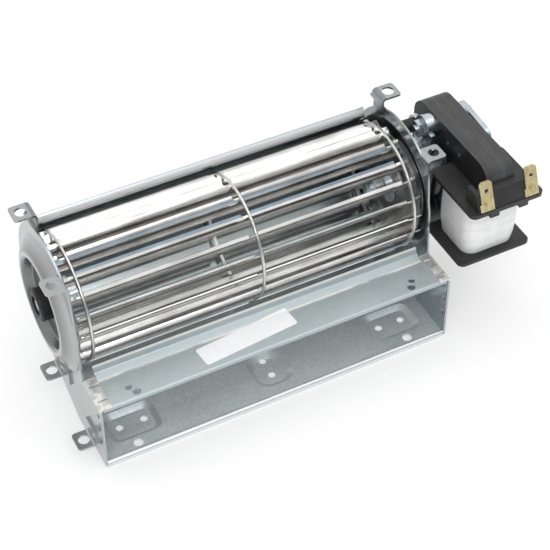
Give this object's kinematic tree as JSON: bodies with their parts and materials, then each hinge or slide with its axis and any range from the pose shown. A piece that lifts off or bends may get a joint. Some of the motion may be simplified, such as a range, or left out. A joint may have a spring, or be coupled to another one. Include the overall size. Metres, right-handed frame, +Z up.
{
  "type": "cross flow fan",
  "caption": "Cross flow blower with a drum impeller between drawn side plates, a bent scroll sheet and a shaded pole motor on one end.",
  "frame": {"origin": "middle of the row of screw holes in the floor pads, on the mounting plane under the pads", "axes": "+X along the impeller from the free bearing to the motor, +Y to the back, away from the outlet, +Z up"},
  "size_m": [0.2237, 0.0875, 0.0967],
  "materials": {
    "galvanised_sheet": "satin",
    "impeller_aluminium": "satin",
    "label_paper": "matte",
    "black_rubber": "matte",
    "sintered_bronze": "satin",
    "ground_steel": "satin",
    "lamination_steel": "satin",
    "copper": "satin",
    "former_plastic": "matte",
    "white_tape": "satin",
    "terminal_brass": "satin",
    "zinc_casting": "satin"
  },
  "bodies": {
    "housing": {"scroll_housing": "galvanised_sheet", "left_side_plate": "galvanised_sheet", "right_side_plate": "galvanised_sheet", "rear_lug": "galvanised_sheet", "front_lug": "galvanised_sheet", "tongue_plate": "galvanised_sheet", "blank_label": "label_paper", "rubber_bush": "black_rubber", "free_bearing_sleeve": "sintered_bronze", "stator_stack": "lamination_steel", "coil_core": "lamination_steel", "stack_rivets": "ground_steel", "shading_rings": "copper", "coil_former": "former_plastic", "coil_winding": "white_tape", "terminals": "terminal_brass", "front_motor_bracket": "zinc_casting", "rear_motor_bracket": "zinc_casting", "front_motor_sleeve": "sintered_bronze", "rear_motor_sleeve": "sintered_bronze", "motor_screws": "ground_steel", "motor_nuts": "ground_steel", "motor_isolators": "black_rubber"},
    "impeller": {"impeller_blades": "impeller_aluminium", "impeller_ring_left": "impeller_aluminium", "impeller_ring_middle": "impeller_aluminium", "impeller_ring_right": "impeller_aluminium", "left_end_disc": "impeller_aluminium", "right_end_disc": "impeller_aluminium", "left_hub": "ground_steel", "right_hub": "ground_steel", "free_shaft": "ground_steel", "motor_shaft": "ground_steel", "rotor_drum": "lamination_steel", "rotor_end_rings": "impeller_aluminium"}
  },
  "joints": [
    {"name": "impeller_spin", "type": "hinge", "parent": "housing", "child": "impeller", "pos_m": [0, 0.035, 0.055], "axis": [1, 0, 0], "continuous": true}
  ]
}
